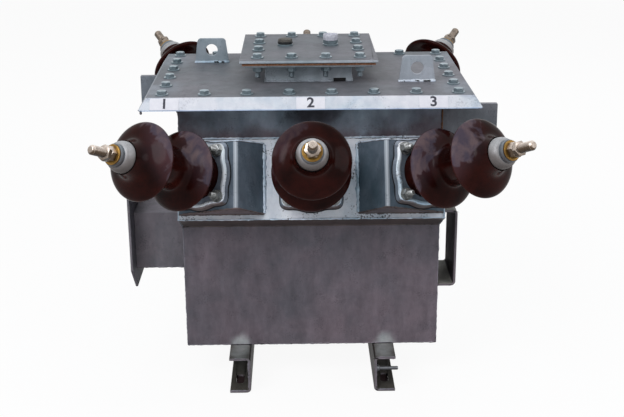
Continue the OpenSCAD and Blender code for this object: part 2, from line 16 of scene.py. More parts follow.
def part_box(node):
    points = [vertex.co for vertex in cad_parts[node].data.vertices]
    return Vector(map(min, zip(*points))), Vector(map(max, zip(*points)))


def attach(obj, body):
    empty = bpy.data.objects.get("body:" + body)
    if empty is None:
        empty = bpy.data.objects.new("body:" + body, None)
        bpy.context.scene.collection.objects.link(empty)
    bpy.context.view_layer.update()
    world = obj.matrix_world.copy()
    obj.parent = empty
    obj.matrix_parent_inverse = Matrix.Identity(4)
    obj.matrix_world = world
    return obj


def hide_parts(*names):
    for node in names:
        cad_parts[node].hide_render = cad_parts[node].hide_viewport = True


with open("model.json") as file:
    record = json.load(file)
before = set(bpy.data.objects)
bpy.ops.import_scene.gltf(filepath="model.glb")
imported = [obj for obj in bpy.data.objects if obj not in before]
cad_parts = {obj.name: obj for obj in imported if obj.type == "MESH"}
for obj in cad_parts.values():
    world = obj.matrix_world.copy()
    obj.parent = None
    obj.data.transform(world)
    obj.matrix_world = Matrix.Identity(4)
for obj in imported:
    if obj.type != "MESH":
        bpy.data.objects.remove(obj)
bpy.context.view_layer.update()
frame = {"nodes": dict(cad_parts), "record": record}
NODES = frame["nodes"]
MOUNTS = {mount["name"]: mount for mount in frame["record"]["mounts"]}
SCENE = bpy.context.scene
MM = 0.001

# Radius of the larger sheds
SHED_R = 0.0775

SIDES = ("front", "rear")
BUSHING_NAMES = ["front_left", "front_middle", "front_right",
                 "rear_left", "rear_middle", "rear_right"]


# ---- shading ----

def linear(code):
    """An sRGB hex colour as linear RGBA."""
    channels = [int(code[i:i + 2], 16) / 255 for i in (1, 3, 5)]
    return [c / 12.92 if c <= 0.04045 else ((c + 0.055) / 1.055) ** 2.4 for c in channels] + [1.0]


def add(tree, kind, inputs=None, **settings):
    """Adds a shader node with its settings, and with its inputs as values or links."""
    node = tree.nodes.new("ShaderNode" + kind)
    for name, value in settings.items():
        setattr(node, name, value)
    for socket, value in (inputs or {}).items():
        if isinstance(value, bpy.types.NodeSocket):
            tree.links.new(value, node.inputs[socket])
        else:
            node.inputs[socket].default_value = value
    return node


def mix(tree, share, first, second, blend="MIX"):
    """The colour between two, each a hex code or a link; blend is how the second lies on."""
    first, second = [linear(c) if isinstance(c, str) else c for c in (first, second)]
    node = add(tree, "Mix", {0: share, 6: first, 7: second}, data_type="RGBA", blend_type=blend)
    return node.outputs[2]


def noise_of(tree, place, scale, detail, **more):
    """A noise pattern with scale waves a metre; more is its roughness or distortion."""
    inputs = {"Vector": place, "Scale": scale, "Detail": detail}
    inputs.update({name.capitalize(): value for name, value in more.items()})
    return add(tree, "TexNoise", inputs).outputs["Fac"]


def remap(tree, value, low, high, to_low=0.0, to_high=1.0, **settings):
    """A value moved from one range to another, and held inside it."""
    inputs = {0: value, 1: low, 2: high, 3: to_low, 4: to_high}
    return add(tree, "MapRange", inputs, **settings).outputs[0]


def reckon(tree, operation, *terms):
    """The result of an operation on numbers."""
    return add(tree, "Math", dict(enumerate(terms)), operation=operation).outputs[0]


def vector(tree, operation, *terms, result="Vector"):
    """The result of an operation on vectors."""
    return add(tree, "VectorMath", dict(enumerate(terms)), operation=operation).outputs[result]


def ramp(tree, value, *stops):
    """The colour of a ramp through two or more (position, hex code) stops."""
    node = add(tree, "ValToRGB", {0: value})
    elements = node.color_ramp.elements
    for element, (position, code) in zip(list(elements), (stops[0], stops[-1])):
        element.position = position
        element.color = linear(code)
    for position, code in stops[1:-1]:
        elements.new(position).color = linear(code)
    return node.outputs[0]


def blank_material(name):
    """An empty node material and its tree."""
    material = bpy.data.materials.new(name)
    material.use_nodes = True
    material.node_tree.nodes.clear()
    return material, material.node_tree


def surfaced(material, colour, bump, inputs):
    """Closes a material; bump is its height, strength and depth in metres."""
    tree = material.node_tree
    relief = add(tree, "Bump", dict(zip(("Height", "Strength", "Distance"), bump)))
    shader = add(tree, "BsdfPrincipled", {"Base Color": colour, "Normal": relief.outputs[0], **inputs})
    add(tree, "OutputMaterial", {0: shader.outputs[0]})
    return material


def dipped_zinc(name, up, side, under, ends=None, bend_highlight=None, stains_and_shades=(), cloud=0.5, mottle=0.35,
                specks=0.25, metallic=0.15, roughness=0.55):
    """Hot-dip galvanised steel left outdoors.

    The dipping leaves faint crystals, clouds and soft vertical mottling, and dust and
    grit stick in the film as dark specks. up, side, under and ends are the colours of
    faces that look up, forward, down and sideways: light and shade painted in by the
    way each face looks. bend_highlight is the direction that a fold faces and the colour
    of the highlight painted along it. stains_and_shades holds real discolouring and
    painted shade, each as its centre, its half sizes and its colour. Each shows in all
    four quarters, so its centre is given for positive X and Y.
    """
    material, tree = blank_material(name)
    place = add(tree, "TexCoord").outputs["Object"]
    normal = add(tree, "NewGeometry").outputs["Normal"]
    facing = add(tree, "SeparateXYZ", {0: normal}).outputs
    # Light and shade painted in by the way each face looks
    end_share = remap(tree, reckon(tree, "ABSOLUTE", facing["X"]), 0.5, 0.75)
    colour = mix(tree, end_share, side, ends or side)
    colour = mix(tree, remap(tree, facing["Z"], 0.55, 0.95), colour, up)
    colour = mix(tree, remap(tree, facing["Z"], -0.1, -0.4), colour, under)

    wander = noise_of(tree, place, 25.0, 4.0)
    mirrored = vector(tree, "ABSOLUTE", place)
    # Real discolouring and painted shade, each a ragged patch
    for centre, half_sizes, stain_and_shade_tone in stains_and_shades:
        offset = vector(tree, "SUBTRACT", mirrored, centre)
        reach = vector(tree, "LENGTH", vector(tree, "DIVIDE", offset, half_sizes), result="Value")
        ragged = reckon(tree, "ADD", reach, wander)
        share = remap(tree, ragged, 1.5, 0.7, interpolation_type="SMOOTHSTEP")
        colour = mix(tree, share, colour, stain_and_shade_tone)

    # Clouds about 80 mm across in patches of 250 mm, mauve to green-grey
    clouds = noise_of(tree, place, 12.0, 6.0, roughness=0.62, distortion=0.6)
    drift = noise_of(tree, place, 4.0, 2.0)
    cloud_share = remap(tree, reckon(tree, "ADD", clouds, drift), 0.75, 1.25)
    tint = ramp(tree, cloud_share, (0.0, "#8c9ca2"), (1.0, "#e2d8dc"))
    colour = mix(tree, cloud, colour, tint, "OVERLAY")

    # Soft mottling, 25 mm wide and drawn out down the sheet
    drawn = add(tree, "Mapping", {"Vector": place, "Scale": (1.0, 1.0, 0.35)}).outputs[0]
    mottling = noise_of(tree, drawn, 40.0, 5.0, roughness=0.6)
    colour = mix(tree, mottle, colour, remap(tree, mottling, 0.3, 0.7, 0.5, 0.95), "OVERLAY")

    # Zinc crystals about 9 mm across, one tone each
    cells = add(tree, "TexVoronoi", {"Vector": place, "Scale": 110.0})
    tone = add(tree, "RGBToBW", {0: cells.outputs["Color"]}).outputs[0]
    colour = mix(tree, 0.3, colour, remap(tree, tone, 0.0, 1.0, 0.62, 0.84), "OVERLAY")
    # A highlight painted along a fold
    if bend_highlight:
        along = vector(tree, "DOT_PRODUCT", normal, bend_highlight[0], result="Value")
        colour = mix(tree, remap(tree, along, 0.86, 0.97), colour, bend_highlight[1])

    # Grit in the film, 2 mm grains in loose patches
    grit = noise_of(tree, place, 330.0, 2.0)
    patchy = reckon(tree, "MULTIPLY", grit, noise_of(tree, place, 30.0, 2.0))
    colour = mix(tree, remap(tree, patchy, 0.33, 0.40, 0.0, specks), colour, "#1d1b1e")

    sheen = remap(tree, clouds, 0.3, 0.7, roughness - 0.08, roughness + 0.1)
    height = reckon(tree, "ADD", mottling, grit)
    return surfaced(material, colour, (height, 0.4, 0.0006), {
        "Metallic": metallic, "Roughness": sheen, "Specular IOR Level": 0.15})


def glazed_porcelain(name, bushing, reflection_strength):
    """Electrical porcelain under a brown glaze, fired glassy.

    The glaze is a clear film over a red-brown body: near black where it lies thick,
    redder where it ran thin over a rim, where the red also paints a highlight. A mauve
    veil with ragged patches, a painted reflection of the sky, lies on the side of each
    shed that looks up and toward the tank's middle; reflection_strength is its strength.
    """
    material, tree = blank_material(name)
    place = add(tree, "TexCoord").outputs["Object"]
    geometry = add(tree, "NewGeometry").outputs
    axis = bushing.to_3x3().col[2].normalized()
    upward = (Vector((0, 0, 1)) - axis * axis.z).normalized()
    inward = axis.cross(upward)
    if inward.x * (bushing.translation.x + 0.001) > 0:
        inward.negate()
    toward = (upward * 0.8 + inward).normalized()

    pool = noise_of(tree, place, 22.0, 4.0, roughness=0.55)
    colour = ramp(tree, pool, (0.32, "#170605"), (0.72, "#30100c"))
    # Rims redder where the glaze runs thin, which also paints their highlight
    colour = mix(tree, remap(tree, geometry["Pointiness"], 0.51, 0.57, 0.0, 0.5), colour, "#51211a")

    # How far a spot lies toward the side with the painted sky reflection, on what looks out along the
    # bushing
    offset = vector(tree, "SUBTRACT", place, bushing.translation)
    lift = vector(tree, "DOT_PRODUCT", offset, toward, result="Value")
    outward = vector(tree, "DOT_PRODUCT", geometry["Normal"], axis, result="Value")
    weight = remap(tree, outward, 0.05, 0.35, 0.0, reflection_strength)
    veil = remap(tree, lift, 0.2 * SHED_R, SHED_R, 0.0, 0.4, interpolation_type="SMOOTHSTEP")
    colour = mix(tree, reckon(tree, "MULTIPLY", veil, weight), colour, "#5f4a52")

    # The painted reflection breaks into patches 30 to 60 mm across with ragged borders, and streaks 8 mm
    # wide in them
    ragged = noise_of(tree, place, 24.0, 3.0, distortion=0.5)
    reach = reckon(tree, "MULTIPLY_ADD", ragged, 1.6 * SHED_R, lift)
    patch = remap(tree, reach, 1.36 * SHED_R, 1.48 * SHED_R, 0.0, 0.65)
    patch_share = reckon(tree, "MULTIPLY", patch, weight)
    drawn = add(tree, "Mapping", {"Vector": place, "Scale": (1.0, 1.0, 0.4)}).outputs[0]
    streaks = noise_of(tree, drawn, 55.0, 2.0, distortion=0.5)
    reflected_tone = mix(tree, remap(tree, streaks, 0.40, 0.65), "#4c4754", "#6f5f62")
    colour = mix(tree, patch_share, colour, reflected_tone)

    # Iron specks in the glaze, about 1 mm
    iron = noise_of(tree, place, 700.0, 1.0)
    colour = mix(tree, remap(tree, iron, 0.66, 0.74, 0.0, 0.5), colour, "#0a0403")
    waves = noise_of(tree, place, 30.0, 2.0)
    sheen = remap(tree, patch_share, 0.0, 1.0, 0.14, 0.3)
    return surfaced(material, colour, (waves, 0.3, 0.0015), {
        "Roughness": sheen, "IOR": 1.5, "Specular IOR Level": 0.05})


def turned_metal(name, sky, middle, ground, roughness, metallic=0.7, mottle=0.3):
    """Bare or thinly plated metal outdoors, with a painted reflection of pale sky above and dark ground
    below.

    sky, middle and ground are its tones on faces that look up, level and down, painted in as that
    reflection.
    Tarnish mottles it, and a grain of about 1 mm breaks its shine.
    """
    material, tree = blank_material(name)
    place = add(tree, "TexCoord").outputs["Object"]
    facing = add(tree, "SeparateXYZ", {0: add(tree, "NewGeometry").outputs["Normal"]}).outputs["Z"]
    mirrored = ramp(tree, remap(tree, facing, -0.8, 0.9), (0.0, ground), (0.5, middle), (1.0, sky))
    tarnish = noise_of(tree, place, 90.0, 4.0)
    colour = mix(tree, remap(tree, tarnish, 0.35, 0.7, 0.0, mottle), mirrored, ground)
    rough = noise_of(tree, place, 1000.0, 2.0)
    sheen = remap(tree, rough, 0.3, 0.7, roughness - 0.07, roughness + 0.08)
    return surfaced(material, colour, (rough, 0.3, 0.0002), {"Metallic": metallic, "Roughness": sheen})


def matt_stuff(name, first, second, grain, roughness, depth=0.0004):
    """A matt, non-metallic material with two mottled tones and a grain of that size."""
    material, tree = blank_material(name)
    place = add(tree, "TexCoord").outputs["Object"]
    blotch = noise_of(tree, place, 1 / grain, 5.0, roughness=0.7)
    colour = mix(tree, remap(tree, blotch, 0.35, 0.65), first, second)
    return surfaced(material, colour, (blotch, 0.5, depth), {
        "Roughness": roughness, "Specular IOR Level": 0.2})


def face_normal(side):
    """The way that a pocket's face looks."""
    return Vector(MOUNTS[side + "_middle_stud"]["axis"]).normalized()


# Each zinc by its colours on faces that look up, forward and down, with light and shade painted into them
cover_zinc = dipped_zinc(
    "cover_hot_dip_zinc", "#64666a", "#cfd6e2", "#46484d", ends="#7b8085", cloud=0.45, mottle=0.3,
    stains_and_shades=[((0.0, 0.240, 0.604), (1.0, 0.004, 0.003), "#8b9cb5"),
            ((0.300, 0.150, 0.626), (0.06, 0.10, 0.01), "#74797f")])
wall_zinc = dipped_zinc(
    "wall_hot_dip_zinc", "#5c5b60", "#524c51", "#2e2b2e", ends="#4b474b", mottle=0.55,
    # The band under the cover's lip is painted shade of the cover, bluish with a painted reflection,
    # darkest in the middle
    stains_and_shades=[((0.0, 0.170, 0.580), (0.40, 0.03, 0.055), "#75818b"),
            ((0.0, 0.170, 0.585), (0.10, 0.03, 0.060), "#37373d"),
            ((0.153, 0.170, 0.082), (0.030, 0.02, 0.030), "#868b8b")])
pocket_zinc = {side: dipped_zinc(
    side + "_pocket_bright_zinc", "#b4bac4", "#b4bac4", "#3a3231", cloud=0.35, specks=0.85)
    for side in SIDES}
# The turrets are dark with painted shade, with a highlight painted along their folds
turret_zinc = {side: dipped_zinc(
    side + "_turret_shaded_zinc", "#525a5f", "#47525a", "#463e3f",
    bend_highlight=(face_normal(side), "#b3bac2"), cloud=0.85, mottle=0.5)
    for side in SIDES}
# The clamps' faces beside the porcelain are dark with painted shade
clamp_zinc = dipped_zinc("clamp_cast_zinc", "#87919a", "#565e66", "#463f3e", mottle=0.4)
neck_zinc = dipped_zinc("neck_hot_dip_zinc", "#858e92", "#8b9499", "#4b4f54", cloud=0.45)
hatch_zinc = dipped_zinc("hatch_hot_dip_zinc", "#64666a", "#8d9499", "#4a4c50", cloud=0.45, mottle=0.3)
lug_zinc = dipped_zinc("lug_hot_dip_zinc", "#8b9298", "#858d93", "#5c5f64", cloud=0.45)
plate_zinc = {side: dipped_zinc(
    side + "_plate_zinc", "#77777c", front, "#444448", cloud=0.45, mottle=0.4)
    for side, front in (("left", "#686d73"), ("right", "#5c5e62"))}
# Faces that look sideways, the channels' webs, are near black with painted shade under the flanges
base_zinc = dipped_zinc(
    "channel_dull_zinc", "#3d3b36", "#5a5558", "#231f1c", ends="#15110f", mottle=0.5, specks=0.4,
    stains_and_shades=[((0.150, 0.19, 0.079), (0.03, 0.09, 0.004), "#6f7270")])
box_zinc = dipped_zinc("box_dull_zinc", "#6b696e", "#59565a", "#3c3a3f", ends="#434347", mottle=0.5)
strap_zinc = dipped_zinc("strap_brown_zinc", "#72726b", "#595356", "#38353a", ends="#302b2d", mottle=0.4)
bolt_zinc = dipped_zinc(
    "bolt_dipped_zinc", "#88959a", "#626d72", "#454b4f", cloud=0.35, mottle=0.4, metallic=0.4,
    roughness=0.35)
weld_zinc = dipped_zinc(
    "weld_dipped_zinc", "#a5b0bc", "#98a5b0", "#4d4a4c", cloud=0.7, mottle=0.8, specks=0.95,
    roughness=0.4)
# Bright tones that paint the highlight along the clamps' rounded edges
edge_highlight_zinc = dipped_zinc(
    "clamp_edge_bright_zinc", "#bccad6", "#a6b5c2", "#55504f", cloud=0.8, mottle=0.7, specks=0.6,
    roughness=0.35)
corner_zinc = dipped_zinc(
    "corner_dipped_zinc", "#6d6e73", "#5a565b", "#332e2f", cloud=0.6, mottle=0.8, specks=0.95,
    roughness=0.45)
brown_seam = dipped_zinc(
    "seam_brown_zinc", "#5d5654", "#4f4746", "#2f2826", cloud=0.6, mottle=0.8, specks=0.95)
cap_metal = turned_metal(
    "cap_cast_aluminium", "#b0b2b5", "#726d6c", "#3c3331", roughness=0.5, metallic=0.4)
seat_metal = turned_metal(
    "cap_seat_aluminium", "#7d858c", "#5a5c60", "#3c3638", roughness=0.5, metallic=0.4)
brass = turned_metal("washer_brass", "#b08a40", "#86622a", "#3d2a10", roughness=0.4, mottle=0.6)
nickel = turned_metal("stud_nickel_plate", "#f2e5da", "#665544", "#251b15", roughness=0.28)
# The rear studs' nickel in darker tones than the front studs'
rear_nickel = turned_metal(
    "rear_stud_darker_nickel", "#a3968a", "#5e5246", "#2a211d", roughness=0.35, mottle=0.5)
bright_zinc = turned_metal(
    "clamp_nut_bright_zinc", "#e4e6e6", "#8d908e", "#38383a", roughness=0.3, mottle=0.4)
earth_metal = turned_metal("earth_stud_dull_zinc", "#8d9095", "#515257", "#1b1a1c", roughness=0.35)

# Each matt thing by its two tones, grain and roughness
# Black rubber for the gaskets, also used to paint shade in gaps and along joints
black_rubber = matt_stuff("gasket_rubber_and_painted_shade", "#131214", "#1e1d20", 0.004, 0.7)
cork = matt_stuff("gasket_cork", "#6e4a38", "#a5785c", 0.004, 0.85)
black_steel = matt_stuff("plug_black_steel", "#141517", "#232426", 0.006, 0.5)
cap_steel = matt_stuff("plug_grey_cap", "#46443f", "#6d6a66", 0.004, 0.6, depth=0.001)
white_tape = matt_stuff("plug_white_tape", "#b6b7c2", "#cfd0d8", 0.005, 0.6)
enamel = matt_stuff("marker_white_enamel", "#dcdce4", "#e6e6ec", 0.02, 0.4)
paint = matt_stuff("marker_dark_paint", "#3f3f48", "#4d4d56", 0.004, 0.5)
rust = matt_stuff("seam_rust", "#4a3527", "#6a4a33", 0.004, 0.85)
# Dark rust for the fixing slots, also painting the shade of the recesses
slot_rust_and_shade = matt_stuff("slot_rust_and_painted_shade", "#241a1a", "#38292b", 0.005, 0.9)

# The CAD nodes that no piece below stands in for
CAD_FINISHES = {name: finish for finish, names in (
    (cover_zinc, "cover"),
    (wall_zinc, "rim_flange front_wall rear_wall left_wall right_wall bottom_plate"),
    (lug_zinc, "left_lifting_lug right_lifting_lug"),
    (neck_zinc, "hatch_neck"), (hatch_zinc, "hatch_plate"), (black_rubber, "cover_gasket"),
    (pocket_zinc["front"], "front_pocket"), (pocket_zinc["rear"], "rear_pocket"),
    (turret_zinc["front"], "front_turrets"), (turret_zinc["rear"], "rear_turrets"),
    (base_zinc, "left_channel right_channel"), (box_zinc, "terminal_box terminal_box_cover"),
    (plate_zinc["left"], "left_side_plate"), (plate_zinc["right"], "right_side_plate"),
    (strap_zinc, "strap_bracket"), (brass, "terminal_washers"),
) for name in names.split()}
for bushing in BUSHING_NAMES:
    CAD_FINISHES[bushing + "_clamp"] = clamp_zinc


# ---- mesh tools ----

WORN_EDGE = 0.0012
BEAD_STEP = 0.003


def finish_cad_node(name):
    """Gives a CAD node its material and edges worn round."""
    node = NODES[name]
    node.data.materials.clear()
    node.data.materials.append(CAD_FINISHES[name])
    weld = node.modifiers.new("joined", "WELD")
    weld.merge_threshold = 0.00002
    bevel = node.modifiers.new("worn_edges", "BEVEL")
    bevel.width = WORN_EDGE
    bevel.segments = 2
    bevel.limit_method = "ANGLE"
    bevel.angle_limit = math.radians(35)


def placed(name, data):
    """A new object in the scene."""
    made = bpy.data.objects.new(name, data)
    SCENE.collection.objects.link(made)
    return made


def make_piece(name, maker, materials, slot_name, sharp_deg, *details):
    """Builds a piece with a maker of meshes, shades it smooth up to an angle and mounts it."""
    built = bmesh.new()
    maker(built, *details)
    bmesh.ops.recalc_face_normals(built, faces=built.faces)
    mesh = bpy.data.meshes.new(name)
    built.to_mesh(mesh)
    built.free()
    for material in materials:
        mesh.materials.append(material)
    mesh.shade_smooth()
    mesh.set_sharp_from_angle(angle=math.radians(sharp_deg))
    piece = placed(name, mesh)
    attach(piece, "root")
    return piece


def skin(built, rings, material=0, caps=True, closed=False):
    """Joins rings of points, each with as many points, into a tube, or into a closed loop."""
    loops = [[built.verts.new(p) for p in ring] for ring in rings]
    count = len(loops[0])
    pairs = list(zip(loops, loops[1:]))
    if closed:
        pairs.append((loops[-1], loops[0]))
    for low, high in pairs:
        for i in range(count):
            j = (i + 1) % count
            built.faces.new((low[i], low[j], high[j], high[i])).material_index = material
    if caps and not closed:
        built.faces.new(list(reversed(loops[0]))).material_index = material
        built.faces.new(loops[-1]).material_index = material


def lifted(place, height):
    """A place moved up its own Z axis."""
    return place @ Matrix.Translation((0, 0, height))


def polar(radius, angle, height):
    """A point about the Z axis."""
    return Vector((radius * math.cos(angle), radius * math.sin(angle), height))


def scaled(points):
    """Points in metres from points in mm."""
    return [(r * MM, z * MM) for r, z in points]


def turn(built, place, profile, steps=32, material=0, caps=False):
    """Turns a profile of (radius, height) points about the Z axis of place."""
    rings = []
    for radius, height in profile:
        rings.append([place @ polar(radius, 2 * math.pi * i / steps, height) for i in range(steps)])
    skin(built, rings, material=material, caps=caps)


def hexagon(built, place, across_flats, height, turn_deg=0.0, material=0):
    """A nut or bolt head: a hexagon with its corners chamfered at the outer end."""
    inner = across_flats / 2
    corner = inner / math.cos(math.radians(30))
    drop = 0.1 * inner

    def ring(corner_r, middle_r, corner_z, middle_z):
        points = []
        for i in range(12):
            angle = math.radians(30 * i + turn_deg)
            radius, z = (corner_r, corner_z) if i % 2 == 0 else (middle_r, middle_z)
            points.append(place @ polar(radius, angle, z))
        return points

    rings = [ring(inner * 0.97, inner * 0.97, 0.0, 0.0), ring(corner, inner, drop, drop * 0.15),
             ring(corner, inner, height - drop, height - drop * 0.15),
             ring(inner * 0.93, inner * 0.93, height, height)]
    skin(built, rings, material=material)


def threaded(built, place, radius, start, end, steps, pitch=0.00175, depth=0.07):
    """A stud's thread as fine rings, depth of its radius deep, with a chamfered end."""
    profile = [(radius * 0.6, start)]
    z = start
    while z < end - radius * 0.5:
        profile += [(radius * (1 - depth), z), (radius, z + pitch / 2)]
        z += pitch
    profile += [(radius * 0.97, end - radius * 0.42), (radius * 0.72, end - radius * 0.06),
                (radius * 0.6, end)]
    turn(built, place, profile, steps=steps, caps=True)


def block(built, low, high):
    """A box between two corners."""
    for vert in bmesh.ops.create_cube(built, size=1.0)["verts"]:
        vert.co = Vector([low[k] + (high[k] - low[k]) * (vert.co[k] + 0.5) for k in range(3)])


def bead(built, path, radius, seed, rough, material=0):
    """A weld bead: a lumpy tube along a path, with ripples where the weld pool froze."""
    points = [Vector(p) for p in path]
    stations = []
    for start, end in zip(points, points[1:]):
        count = max(1, round((end - start).length / BEAD_STEP))
        stations += [start.lerp(end, i / count) for i in range(count)]
    stations.append(points[-1])
    rings = []
    last = len(stations) - 1
    reference = None
    for i, station in enumerate(stations):
        along = (stations[min(i + 1, last)] - stations[max(i - 1, 0)]).normalized()
        across = along.orthogonal() if reference is None else reference - along * reference.dot(along)
        across.normalize()
        reference = across
        other = along.cross(across)
        lump = 1 + rough * noise.noise(station * 120 + Vector((seed, 0, 0)))
        lump += 0.6 * rough * noise.noise(station * 420 + Vector((0, seed, 0)))
        ripple = 1 + 0.08 * math.sin(i * 2.1)
        taper = 0.5 if i in (0, last) else 1
        ring = []
        for k in range(8):
            angle = math.pi * k / 4
            r = radius * lump * ripple * taper
            r *= 1 + 0.15 * noise.noise(station * 300 + Vector((k * 5.0, seed, 0)))
            ring.append(station + (across * math.cos(angle) + other * math.sin(angle)) * r)
        rings.append(ring)
    skin(built, rings, material=material)


def smooth_profile(points, steps):
    """A smooth curve through (radius, height) points, for turned clay and rubber."""
    padded = [points[0]] + list(points) + [points[-1]]
    curve = []
    for a, b, c, d in zip(padded, padded[1:], padded[2:], padded[3:]):
        for i in range(steps):
            t = i / steps
            curve.append(tuple(
                0.5 * (2 * b[k] + (c[k] - a[k]) * t + (2 * a[k] - 5 * b[k] + 4 * c[k] - d[k]) * t ** 2
                       + (3 * b[k] - a[k] - 3 * c[k] + d[k]) * t ** 3) for k in (0, 1)))
    curve.append(points[-1])
    return curve


# ---- places ----

# Along a bushing, from its seat
CLAMP_TOP = 0.012
PORCELAIN_END = 0.231
WASHER_TOP = 0.263
NUT_TOP = 0.276
LOCK_NUT_TOP = 0.2845

# Across a terminal's nuts and its stud, and out to a clamp's studs both ways
NUT_FLATS = 0.026
TERMINAL_R = 0.009
CLAMP_STUD = 0.045

# Down a pocket's face: to the middle bushing, and to the lower edge
BUSHING_DROP = 0.0825
FACE_LENGTH = 0.164

# Radius of the clamp studs and bolts
BOLT_R = 0.0055


def stud_length(name):
    """Length of a bushing's stud beyond its lock nut."""
    return MOUNTS[name + "_stud"]["dims"]["length_mm"] * MM


def bushing_place(name):
    """The frame of a bushing's seat: Z along its axis, Y up the pocket's slope."""
    axis = Vector(MOUNTS[name + "_stud"]["axis"]).normalized()
    seat = Vector(MOUNTS[name + "_stud"]["pos_m"]) - axis * (LOCK_NUT_TOP + stud_length(name) / 2)
    face = face_normal(name.split("_")[0])
    slope = Vector((0, 0, 1))
    slope = (slope - face * slope.dot(face)).normalized()
    matrix = Matrix((slope.cross(axis), slope, axis)).transposed().to_4x4()
    matrix.translation = seat
    return matrix


def face_place(side):
    """The frame of a pocket's face: origin at the middle of its top edge, Y up the slope."""
    seat = bushing_place(side + "_middle")
    return seat @ Matrix.Translation((0, BUSHING_DROP, 0))


cover_low, cover_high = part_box("cover")
flange_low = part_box("rim_flange")[0]
hatch_low, hatch_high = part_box("hatch_plate")
neck_low, neck_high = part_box("hatch_neck")
wall_low, wall_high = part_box("front_wall")
tank_x = wall_high.x
tank_y = -wall_low.y
tank_foot = wall_low.z
LIP_OUT = 0.020
LIP_DROP = 0.022
lip_slope = Vector((0, LIP_OUT, LIP_DROP)).normalized()
lip_place = Matrix((Vector((1, 0, 0)), lip_slope, Vector((1, 0, 0)).cross(lip_slope))).transposed().to_4x4()
lip_place.translation = Vector((0, cover_low.y + LIP_OUT / 2, cover_high.z - LIP_DROP / 2))

for name in CAD_FINISHES:
    finish_cad_node(name)

# ---- bushings ----

# Glazed porcelain: neck, two sheds, core and collar, as (radius, height) in mm
PORCELAIN = [
    (46, 2), (46, 40), (46, 58), (47.2, 66), (51, 70.6), (58, 69), (65, 66.2), (70, 64.9),
    (75, 65.8), (77.5, 69), (76.6, 72.6), (73, 76.6), (67, 80.6), (60, 84), (52, 86.9),
    (45, 89.8), (40.6, 94), (38.5, 101), (38, 112), (38, 140), (38, 164), (38.9, 174),
    (42.4, 180.6), (50, 181), (57, 179), (64, 177.2), (69, 177), (72.8, 178.6),
    (74, 181.4), (72.8, 185), (69, 189), (63.5, 192.6), (56.5, 196), (49, 199),
    (42.6, 202.4), (38.4, 206.6), (35.6, 212), (33.6, 218), (32.2, 224), (31.2, 229), (31, 231),
]
CAP = [(29.2, 0.2), (29.5, 1.2), (29.5, 3), (29.2, 7.1), (28.36, 11), (27, 14.3), (25.25, 16.8),
       (23.2, 18.4), (21.6, 19)]
CAP_SEAT = [(21.6, 19), (20.6, 19.4), (20.6, 20.6), (21, 21.2), (21, 26.8), (20.3, 27.9), (9.8, 28)]


def porcelain_body(built, place):
    """A bushing's porcelain in one turned piece."""
    turn(built, place, scaled(smooth_profile(PORCELAIN, 3)), steps=96)


def cap_body(built, place):
    """A cast dome, a groove and the seat for the washer."""
    seat = lifted(place, PORCELAIN_END)
    turn(built, seat, scaled(CAP), steps=64)
    turn(built, seat, scaled(CAP_SEAT), steps=64, material=1)


def terminal(built, place, length):
    """A worn stud with its full nut and lock nut."""
    threaded(built, place, TERMINAL_R, LOCK_NUT_TOP - 0.002, LOCK_NUT_TOP + length, depth=0.025,
             steps=32)
    hexagon(built, lifted(place, WASHER_TOP), NUT_FLATS, NUT_TOP - WASHER_TOP)
    hexagon(built, lifted(place, NUT_TOP), NUT_FLATS, LOCK_NUT_TOP - NUT_TOP, turn_deg=18)


def clamp_reach(angle):
    """How far the clamp's outline at its back lies from its middle in that direction."""
    half, corner, swell = 0.063, 0.014, 0.069
    x, y = abs(math.cos(angle)), abs(math.sin(angle))
    straight = half / max(x, y)
    # the ray meets the corner's arc where it passes outside both straight sides
    mid = half - corner
    along = mid * (x + y)
    inside = along * along - 2 * mid * mid + corner * corner
    rounded = along + math.sqrt(inside) if inside > 0 else straight
    return max(rounded if straight * min(x, y) > mid else straight, swell)


def clamp_outline(place, height, grow, wave=0.0, seed=0):
    """The clamp's outline at a height above its seat, moved outward by grow."""
    points = []
    for i in range(96):
        angle = 2 * math.pi * i / 96
        reach = sum(clamp_reach(angle + d) for d in (-0.08, -0.04, 0.0, 0.04, 0.08)) / 5 + grow
        bump = wave * noise.noise(polar(3, angle, seed))
        points.append(place @ polar(reach, angle, height + bump))
    return points


def clamp_gasket_and_shade(built, place):
    """The black rubber sheet between a clamp and the steel, squeezed out along its edge; it also paints the
    shade in the gap under the clamp.
    """
    levels = ((0.0002, -0.006), (0.0002, 0.0002), (0.0010, 0.0009), (0.0020, 0.0003), (0.0020, -0.006))
    skin(built, [clamp_outline(place, height, grow) for height, grow in levels], closed=True)


def clamp_edge(built, place, seed):
    """The clamp's rounded front edge, an uneven roll of zinc, bright with a painted highlight."""
    rings = []
    for height, grow in ((0.0075, -0.0042), (0.0100, -0.0046), (0.0122, -0.0062), (0.0132, -0.0085),
                         (0.0130, -0.0110), (0.0119, -0.0128), (0.0100, -0.0100)):
        uneven = 0.0009 if height > 0.0110 else 0.0003
        rings.append(clamp_outline(place, height, grow, uneven, seed + height * 200))
    skin(built, rings, closed=True)


def clamp_studs(built, place):
    """Four studs with washer and nut at the corners of a clamp."""
    for x in (-CLAMP_STUD, CLAMP_STUD):
        for y in (-CLAMP_STUD, CLAMP_STUD):
            spot = place @ Matrix.Translation((x, y, CLAMP_TOP))
            turn(built, spot, [(0.006, 0), (0.0125, 0), (0.0125, 0.0022), (0.006, 0.0022)])
            hexagon(built, lifted(spot, 0.0022), 0.019, 0.009,
                    turn_deg=40 * x / CLAMP_STUD + 13 * y / CLAMP_STUD)
            threaded(built, spot, BOLT_R, 0.010, 0.024, pitch=0.0018, steps=12)


